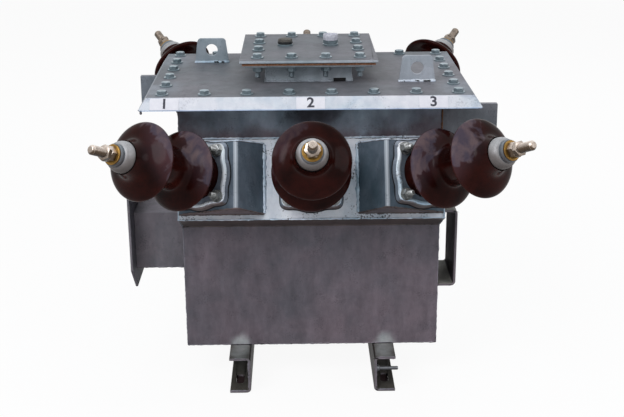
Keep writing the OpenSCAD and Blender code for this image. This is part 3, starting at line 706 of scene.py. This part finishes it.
for count, name in enumerate(BUSHING_NAMES):
    place = bushing_place(name)
    side = name.split("_")[0]
    glaze = glazed_porcelain(name + "_brown_glaze", place, 0.3 if "middle" in name else 1.0)
    body = make_piece(name + "_glazed_body", porcelain_body, [glaze], "brown_porcelain", 50, place)
    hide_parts(name + "_porcelain", side + "_sheds")
    cap = make_piece(name + "_cap", cap_body, [cap_metal, seat_metal], "cast_grey", 40, place)
    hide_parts("terminal_caps")
    plating = nickel if side == "front" else rear_nickel
    stud = make_piece(name + "_terminal_stud", terminal, [plating], "bright_steel", 25,
                      place, stud_length(name))
    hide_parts(name + "_terminal")
    make_piece(name + "_clamp_studs", clamp_studs, [bright_zinc], "bright_steel", 30, place)
    make_piece(name + "_clamp_gasket", clamp_gasket_and_shade, [black_rubber], "black_rubber", 40, place)
    make_piece(name + "_clamp_edge", clamp_edge, [edge_highlight_zinc], "clamp_zinc", 60, place, count)


# ---- cover and hatch bolts ----

COVER_BOLT_X = 0.289
COVER_BOLT_Y = 0.1965
HATCH_BOLT_X = 0.103
HATCH_BOLT_Y = 0.120
HEAD_AF = 0.0172
HEAD_H = 0.0068
WASHER_R = 0.0128
WASHER_T = 0.0024


def perimeter(half_x, half_y, count_x, count_y):
    """Points evenly spaced round a rectangle about the origin."""
    points = []
    for i in range(count_x):
        x = -half_x + 2 * half_x * i / (count_x - 1)
        points += [(x, -half_y), (x, half_y)]
    for j in range(1, count_y - 1):
        y = -half_y + 2 * half_y * j / (count_y - 1)
        points += [(-half_x, y), (half_x, y)]
    return points


def bolted(built, x, y, top, foot, nut_h, nut_turn, tail):
    """A bolt and washer on sheets from top to foot; its nut and thread's tail hang below."""
    twist = random.uniform(0, 60)
    head = Matrix.Translation((x, y, top))
    turn(built, head, [(0.006, 0), (WASHER_R, 0), (WASHER_R, WASHER_T * 0.8),
                       (WASHER_R - 0.0006, WASHER_T), (0.006, WASHER_T)])
    hexagon(built, lifted(head, WASHER_T), HEAD_AF, HEAD_H, turn_deg=twist)
    below = Matrix.Translation((x, y, foot)) @ Matrix.Rotation(math.pi, 4, "X")
    hexagon(built, below, HEAD_AF, nut_h, turn_deg=twist + nut_turn)
    threaded(built, below, BOLT_R, nut_h - 0.002, tail, pitch=0.0015, steps=12)


def cover_bolts(built):
    """The bolts through the cover and the tank's rim flange."""
    random.seed(7)
    for x, y in perimeter(COVER_BOLT_X, COVER_BOLT_Y, 8, 6):
        bolted(built, x, y, cover_high.z, flange_low.z, 0.009, 25, 0.014)


def hatch_bolts(built):
    """The bolts through the hatch plate and its neck's flange."""
    random.seed(11)
    middle = (hatch_low + hatch_high) / 2
    for x, y in perimeter(HATCH_BOLT_X, HATCH_BOLT_Y, 4, 4):
        bolted(built, x + middle.x, y + middle.y, hatch_high.z, neck_high.z - 0.005, 0.011, 20, 0.024)


make_piece("cover_bolts", cover_bolts, [bolt_zinc], "bright_steel", 30)
make_piece("hatch_bolts", hatch_bolts, [bolt_zinc], "bright_steel", 30)


# ---- plugs, gasket and earthing stud ----

def plug_boss(built, low, high):
    """The steel boss under a plug; gives the plug's foot on the hatch."""
    middle = (low + high) / 2
    foot = Matrix.Translation((middle.x, middle.y, hatch_high.z))
    turn(built, foot, [(0.009, 0), (0.0163, 0), (0.0163, 0.003), (0.0155, 0.0036), (0.009, 0.0036)])
    return foot


def fill_plug_body(built):
    """A steel boss, a black rubber ring squeezed on it and a low domed hexagon."""
    foot = plug_boss(built, *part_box("fill_plug"))
    turn(built, foot, scaled(smooth_profile(
        [(10, 3.6), (14.8, 3.6), (15.8, 5.2), (15.9, 7.2), (14.8, 9.2), (10, 9.3)], 4)), material=1)
    hexagon(built, lifted(foot, 0.0080), 0.0262, 0.0066, turn_deg=12, material=2)
    turn(built, lifted(foot, 0.0144),
         [(0.0118, 0), (0.009, 0.0008), (0.004, 0.0012), (0.0001, 0.0012)], material=2)


def vent_plug_body(built):
    """A hexagon on its washer, and a body wound round with white sealing tape."""
    foot = plug_boss(built, *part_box("vent_plug"))
    hexagon(built, lifted(foot, 0.0036), 0.0272, 0.0090, turn_deg=8)
    # tape wound in five uneven turns, open at the top
    steps = 48
    heights = [11.4, 11.6, 12.8, 13.0, 15.0, 15.2, 17.6, 17.8, 20.2, 20.4, 22.4, 23.4, 23.5, 20.8]
    radii = [13.4, 14.8, 15.4, 14.9, 15.7, 15.2, 15.9, 15.3, 15.8, 15.4, 15.7, 15.0, 12.2, 11.6]
    rings = []
    for level, (radius, height) in enumerate(zip(radii, heights)):
        ring = []
        for i in range(steps):
            angle = 2 * math.pi * i / steps
            fold = noise.noise(polar(2.2, angle, level * 0.7))
            r = (radius + 0.5 * fold) * MM
            z = (height + (1.0 * fold if level > 9 else 0.4 * math.sin(angle))) * MM
            ring.append(foot @ polar(r, angle, z))
        rings.append(ring)
    skin(built, rings, material=1)


def cork_sheet(built):
    """The hatch's cork gasket: a ring with crumbled, split edges."""
    low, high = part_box("hatch_gasket")
    edge = []
    corners = [(low.x, low.y), (high.x, low.y), (high.x, high.y),
               (low.x, high.y)]
    for (x0, y0), (x1, y1) in zip(corners, corners[1:] + corners[:1]):
        count = round(math.hypot(x1 - x0, y1 - y0) / 0.004)
        edge += [Vector((x0 + (x1 - x0) * i / count, y0 + (y1 - y0) * i / count, 0)) for i in range(count)]
    middle = Vector(((low.x + high.x) / 2, (low.y + high.y) / 2, 0))
    rings = []
    for share, height in ((0.0, 0.06), (1.0, 0.04), (1.0, 0.5), (1.0, 0.96), (0.0, 0.94)):
        ring = []
        for point in edge:
            crumble = 0.0011 * noise.noise(point * 160 + Vector((0, 0, height * 3)))
            split = 0.0016 if noise.noise(point * 45) > 0.28 and height == 0.5 else 0.0
            out = (point - middle) * (1 if share else 0.86)
            out *= 1 - (0.0008 + abs(crumble) + split) / out.length
            spot = middle + out
            spot.z = low.z + (high.z - low.z) * height
            ring.append(spot)
        rings.append(ring)
    skin(built, rings, closed=True)


def earth_stud_body(built):
    """A threaded stud welded to the channel's web, with a round end."""
    low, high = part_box("earth_stud")
    root = Vector((low.x, (low.y + high.y) / 2, (low.z + high.z) / 2))
    place = Matrix.Translation(root) @ Matrix.Rotation(math.pi / 2, 4, "Y")
    length = high.x - low.x
    turn(built, place, [(0.0076, 0.0001), (0.0076, 0.0018), (0.0068, 0.0040), (0.0046, 0.0062)], steps=24)
    threaded(built, place, 0.004, 0.004, length, pitch=0.0016, steps=16)


fill_body = make_piece("fill_plug_body", fill_plug_body, [bolt_zinc, black_steel, cap_steel],
                       "black_steel", 40)
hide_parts("fill_plug")
vent_body = make_piece("vent_plug_body", vent_plug_body, [bolt_zinc, white_tape], "white_tape", 40)
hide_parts("vent_plug")
cork_body = make_piece("hatch_cork_sheet", cork_sheet, [cork], "cork", 40)
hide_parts("hatch_gasket")
earth_body = make_piece("earth_stud_body", earth_stud_body, [earth_metal], "bright_steel", 40)
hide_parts("earth_stud")


# ---- welds ----

SHEET_STEP = 0.0006
NECK_HALF_W = 0.0875
NECK_HALF_D = 0.1025
TURRET_FOOT = 0.093
TURRET_PLATE = 0.142
TURRET_BEND_R = 0.008
TURRET_MARGIN = 0.011
TURRET_LEAN = math.radians(7)


def turret_line(side, side_x):
    """Points along a turret's outer plates, as (across, out from the face)."""
    turn_angle = Vector(MOUNTS[side + "_left_stud"]["axis"]).angle(face_normal(side))
    peak = Vector((tank_x - TURRET_PLATE * math.cos(turn_angle), TURRET_PLATE * math.sin(turn_angle)))
    foot, end = Vector((TURRET_FOOT, 0)), Vector((tank_x, 0))
    up_inner = (peak - foot).normalized()
    down_outer = (end - peak).normalized()
    top = peak + (down_outer - up_inner) * (TURRET_BEND_R * 0.21)
    line = [foot, peak - up_inner * TURRET_BEND_R, top, peak + down_outer * TURRET_BEND_R, end]
    return [(side_x * p.x, p.y) for p in line]


def turret_welds(built, side):
    """Bright beads round the turrets' feet, and brown seams along their end plates."""
    place = face_place(side)
    for side_x in (-1, 1):
        line = turret_line(side, side_x)
        upper = [place @ Vector((x, -TURRET_MARGIN - h * math.tan(TURRET_LEAN), h)) for x, h in line]
        lower = [place @ Vector((x, TURRET_MARGIN - FACE_LENGTH, h)) for x, h in line]
        bead(built, upper, 0.0018, 3 + side_x, 0.7)
        bead(built, [upper[0], lower[0]], 0.0040, 7 + side_x, 0.6)
        bead(built, [upper[0], upper[-1]], 0.0024, 9 + side_x, 0.6)
        bead(built, lower, 0.0015, 5 + side_x, 0.7, material=1)
        bead(built, [lower[0], lower[-1]], 0.0020, 11 + side_x, 0.6, material=1)


def pocket_welds(built, side):
    """Beads along the pocket's lower edge and ends, and where it meets the tank."""
    place = face_place(side)
    toward = -1 if side == "front" else 1
    low_edge = place @ Vector((0, -FACE_LENGTH, 0))
    depth = FACE_LENGTH * math.tan(math.asin(abs(face_normal(side).z)))
    foot = place @ Vector((0, -FACE_LENGTH, -depth))
    crest = place.translation.copy()
    across = Vector((tank_x, 0, 0))
    nudge = Vector((0, toward * 0.0005, 0))
    bead(built, [low_edge - across, low_edge + across], 0.0017, 21, 0.8)
    bead(built, [crest - across + nudge, crest + across + nudge], 0.0022, 22, 0.6)
    bead(built, [foot - across + nudge, foot + across + nudge], 0.0016, 23, 0.5, material=1)
    for end in (-1, 1):
        bead(built, [crest + across * end, low_edge + across * end, foot + across * end],
             0.0015, 24 + end, 0.7)


def tank_seams(built):
    """Thin uneven runs of zinc down the tank's corners and along its lower edges."""
    x, y, z = tank_x - SHEET_STEP, tank_y - SHEET_STEP, tank_foot + 0.0008
    for side_x in (-1, 1):
        for side_y in (-1, 1):
            foot = Vector((side_x * x, side_y * y, tank_foot + 0.002))
            head = Vector((foot.x, foot.y, wall_high.z - 0.001))
            bead(built, [foot, head], 0.0014, 31 + side_x + 2 * side_y, 0.6)
    for end in (-1, 1):
        bead(built, [(-tank_x, end * y, z), (tank_x, end * y, z)], 0.0013, 37 + end, 0.6)
    for end in (-1, 1):
        bead(built, [(end * x, -tank_y, z), (end * x, tank_y, z)], 0.0013, 41 + end, 0.6)


def rusty_seam(built):
    """The right front corner above the pocket, where the bare seam has rusted."""
    foot = Vector((tank_x - 0.0004, -tank_y + 0.0004, face_place("front").translation.z + 0.006))
    bead(built, [foot, Vector((foot.x, foot.y, flange_low.z - 0.004))], 0.0019, 45, 0.6)


def lug_welds(built):
    """Thick white runs of zinc along both sides of each lifting plate's foot."""
    for name in ("left_lifting_lug", "right_lifting_lug"):
        low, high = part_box(name)
        for y in (low.y, high.y):
            bead(built, [(low.x - 0.001, y, low.z + 0.001), (high.x + 0.001, y, low.z + 0.001)], 0.0034,
                 51 + y * 10, 0.5)


def weld_gap_shades(built):
    """Black blocks that paint the shade in the gaps which the welds at the lifting plates' feet and at the
    neck leave.
    """
    for name, spots in (("left_lifting_lug", ((0.042, 0.009), (0.058, 0.006))),
                        ("right_lifting_lug", ((0.036, 0.005), (0.050, 0.014)))):
        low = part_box(name)[0]
        for start, length in spots:
            block(built, (low.x + start, low.y - 0.0046, low.z + 0.0012),
                  (low.x + start + length, low.y - 0.003, low.z + 0.0036))
    neck_front = (neck_low.y + neck_high.y) / 2 - NECK_HALF_D
    block(built, (0.0485, neck_front - 0.0012, neck_low.z + 0.0004),
          (0.0735, neck_front + 0.001, neck_low.z + 0.0075))


def neck_weld(built):
    """The bead round the neck's foot, open where the gap at its front is."""
    middle = (neck_low + neck_high) / 2
    half_w, half_d = NECK_HALF_W + SHEET_STEP, NECK_HALF_D + SHEET_STEP
    left, right = middle.x - half_w, middle.x + half_w
    front, rear = middle.y - half_d, middle.y + half_d
    path = ((0.046, front), (left, front), (left, rear), (right, rear), (right, front), (0.076, front))
    bead(built, [(x, y, neck_low.z + 0.0012) for x, y in path], 0.0024, 61, 0.7)


def side_welds(built):
    """Beads where the box, the upper plates and the strap stand on the side walls."""
    wall = tank_x + SHEET_STEP
    low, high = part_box("terminal_box")
    for z in (low.z, high.z):
        bead(built, [(-wall, low.y, z), (-wall, high.y, z)], 0.002, 71, 0.5)
    for y in (low.y, high.y):
        bead(built, [(-wall, y, low.z), (-wall, y, high.z)], 0.002, 72, 0.5)
    front, foot = low.y + 0.001, low.z + SHEET_STEP
    bead(built, [(low.x, front, foot), (high.x, front, foot)], 0.0014, 73, 0.7)
    for name, x in (("left_side_plate", -wall), ("right_side_plate", wall)):
        low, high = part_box(name)
        for y in (low.y, low.y + 0.004):
            bead(built, [(x, y, low.z), (x, y, high.z)], 0.002, 75, 0.5)
    low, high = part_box("strap_bracket")
    for z in (low.z, high.z):
        bead(built, [(wall, low.y, z), (wall, high.y, z)], 0.0018, 77, 0.5)


def channel_burrs_and_shade(built):
    """The channels' flame-cut ends, with beads of slag, and black beads that paint the shadow along their
    joints with the tank.
    """
    for name, side_x in (("left_channel", -1), ("right_channel", 1)):
        low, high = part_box(name)
        web = low.x if side_x == 1 else high.x
        tip = high.x if side_x == 1 else low.x
        for y in (low.y + 0.0008, high.y - 0.0008):
            for z in (low.z + 0.0029, low.z + 0.0045, high.z - 0.0012, high.z - 0.0046):
                bead(built, [(web + side_x * 0.009, y, z), (tip - side_x * 0.001, y, z)], 0.0013,
                     81 + z * 100, 0.6)
            cut = web + side_x * 0.0045
            bead(built, [(cut, y, low.z + 0.010), (cut, y, high.z - 0.010)], 0.0013, 85 + side_x, 0.9)
        # Black beads that paint the shadow line where the channel meets the tank
        for x in (web, tip):
            bead(built, [(x, -tank_y, high.z), (x, tank_y, high.z)], 0.0018, 87 + side_x, 0.5,
                 material=1)
        bead(built, [(web, -tank_y - 0.0004, high.z), (tip, -tank_y - 0.0004, high.z)], 0.0014,
             89 + side_x, 0.5, material=1)


def slot_dirt_and_shade(built):
    """Dark rust and dirt that has caked in the two front fixing slots, which also paints the shade of the
    recesses.
    """
    for name in ("left_base_slots", "right_base_slots"):
        slots = MOUNTS[name]
        radius = slots["dims"]["hole_r_mm"] * MM - 0.0001
        straight = slots["dims"]["slot_length_mm"] * MM / 2 - radius
        middle = Vector(slots["pos_m"]) - Vector((0, slots["dims"]["spacing_y_mm"] * MM / 2, 0))
        edge = []
        for i in range(48):
            angle = 2 * math.pi * i / 48
            shift = straight if math.sin(angle) > 0 else -straight
            edge.append(Vector((radius * math.cos(angle), radius * math.sin(angle) + shift, 0)))
        rings = []
        for share, height in ((1.0, 0.0003), (1.0, 0.0014), (0.8, 0.0010), (0.45, 0.0016), (0.1, 0.0012)):
            ring = []
            for point in edge:
                spot = middle + point * share
                lump = 0.0005 * noise.noise(spot * 180 + Vector((0, 0, share * 4)))
                ring.append(spot + Vector((0, 0, height + (lump if share < 1 else 0))))
            rings.append(ring)
        skin(built, rings)


def lip_drip(built):
    """A drop of zinc that froze on the lip's left front corner."""
    spot = Matrix.Translation((cover_low.x + 0.006, cover_low.y + 0.004, cover_low.z - 0.001))
    turn(built, spot, [(0.0001, -0.0062), (0.0018, -0.0056), (0.0026, -0.0036), (0.0021, -0.0012),
                       (0.0034, 0.0014), (0.0042, 0.0026)], steps=12)


for side in SIDES:
    beads = [weld_zinc, brown_seam]
    make_piece(side + "_turret_welds", turret_welds, beads, "galvanised_turret", 60, side)
    make_piece(side + "_pocket_welds", pocket_welds, beads, "galvanised_bright", 60, side)
make_piece("tank_seams", tank_seams, [corner_zinc], "galvanised_dark", 60)
make_piece("rusty_seam", rusty_seam, [rust], "galvanised_dark", 60)
make_piece("lug_welds", lug_welds, [weld_zinc], "galvanised_light", 60)
make_piece("weld_gap_shades", weld_gap_shades, [black_rubber], "black_rubber", 30)
make_piece("neck_weld", neck_weld, [lug_zinc], "galvanised_light", 60)
make_piece("side_welds", side_welds, [corner_zinc], "galvanised_dark", 60)
make_piece("channel_burrs_and_shade", channel_burrs_and_shade, [corner_zinc, black_rubber], "galvanised_base", 60)
make_piece("slot_dirt_and_shade", slot_dirt_and_shade, [slot_rust_and_shade], "galvanised_base", 60)
make_piece("lip_drip", lip_drip, [corner_zinc], "galvanised_light", 60)


# ---- markers on the lip ----

MARKER_HALF_W = 0.0278
MARKER_HALF_H = 0.0128


def marker_plate(built, x):
    """A thin enamelled plate stuck flat on the sloping lip."""
    block(built, (-MARKER_HALF_W, -MARKER_HALF_H, 0.0), (MARKER_HALF_W, MARKER_HALF_H, 0.0008))
    bmesh.ops.bevel(built, geom=list(built.edges), offset=0.0003, segments=2, affect="EDGES")
    built.transform(lip_place @ Matrix.Translation((x, 0, 0)))


def marker_number(x, number):
    """A painted plain number on a marker plate."""
    letters = bpy.data.curves.new("marker_number_" + number, "FONT")
    letters.body = number
    letters.size = 0.030
    letters.align_x = "CENTER"
    letters.align_y = "CENTER"
    letters.extrude = 0.0002
    letters.offset = 0.0007
    letters.materials.append(paint)
    shape = placed("marker_number_" + number, letters)
    shape.matrix_world = lip_place @ Matrix.Translation((x, 0, 0.0009))
    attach(shape, "root")


for x, number in ((-0.2815, "1"), (0.0, "2"), (0.237, "3")):
    make_piece("marker_plate_" + number, marker_plate, [enamel], "white_tape", 35, x)
    marker_number(x, number)


# ---- camera, light and floor ----

LAMP_AIM = Vector((0, 0, 0.4))


def white_to_eye(tree, rays):
    """The share of rays to meet plain white: the camera's and mirrored ones."""
    return reckon(tree, "MAXIMUM", rays["Is Camera Ray"], rays["Is Glossy Ray"])


def lamp(name, place, size, power, colour):
    """A round soft lamp of that size and power, aimed at the part."""
    light = bpy.data.lights.new(name, "AREA")
    light.shape = "DISK"
    light.size = size
    light.energy = power
    light.color = linear(colour)[:3]
    stand = placed(name, light)
    stand.location = place
    stand.rotation_euler = (LAMP_AIM - Vector(place)).to_track_quat("-Z", "Y").to_euler()
    return stand


def studio():
    """Three soft lamps, a white background and a pale floor."""
    world = bpy.data.worlds.new("studio_air")
    SCENE.world = world
    world.use_nodes = True
    tree = world.node_tree
    tree.nodes.clear()
    rays = add(tree, "LightPath").outputs
    shown = reckon(tree, "MAXIMUM", white_to_eye(tree, rays), rays["Is Transmission Ray"])
    air = add(tree, "Background", {"Color": linear("#ebedef"), "Strength": 0.5})
    white = add(tree, "Background", {"Color": (1, 1, 1, 1)})
    mixed = add(tree, "MixShader", {0: shown, 1: air.outputs[0], 2: white.outputs[0]})
    add(tree, "OutputWorld", {0: mixed.outputs[0]})

    lamp("key_softbox", (-1.7, -2.3, 2.8), 2.2, 75, "#f7f8fb")
    lamp("fill_softbox", (2.4, -1.6, 1.8), 2.0, 24, "#f6f6fa")
    # The back light fills the shade behind the hatch, without a mirror image on the cover
    back = lamp("back_softbox", (0.5, 2.6, 2.4), 2.0, 25, "#f6f8fb")
    back.visible_glossy = False

    floor_material, tree = blank_material("pale_floor")
    seen = white_to_eye(tree, add(tree, "LightPath").outputs)
    lit = add(tree, "BsdfDiffuse", {"Color": linear("#f6f7f8")})
    white = add(tree, "Emission", {"Color": (1, 1, 1, 1)})
    # The camera sees the floor nearly white, with a faint shadow on it
    share = reckon(tree, "MULTIPLY", seen, 0.93)
    mixed = add(tree, "MixShader", {0: share, 1: lit.outputs[0], 2: white.outputs[0]})
    add(tree, "OutputMaterial", {0: mixed.outputs[0]})
    mesh = bpy.data.meshes.new("studio_floor")
    reach = 12.0
    mesh.from_pydata([(-reach, -reach, 0), (reach, -reach, 0), (reach, reach, 0), (-reach, reach, 0)],
                     [], [(0, 1, 2, 3)])
    mesh.materials.append(floor_material)
    floor = placed("studio_floor", mesh)


def camera():
    """The camera, in front of the part and above it, looking down at it."""
    lens = bpy.data.cameras.new("studio_camera")
    lens.sensor_width = 36.0
    lens.lens = 67.54
    lens.clip_end = 50.0
    view = placed("studio_camera", lens)
    down, right, roll = math.radians(18.54), math.radians(0.701), math.radians(-0.39)
    view.matrix_world = (Matrix.Translation((-0.0257, -2.4296, 1.1390))
                         @ Matrix.Rotation(-right, 4, "Z")
                         @ Matrix.Rotation(math.pi / 2 - down, 4, "X")
                         @ Matrix.Rotation(roll, 4, "Z"))
    SCENE.camera = view


studio()
camera()
SCENE.view_settings.view_transform = "Standard"
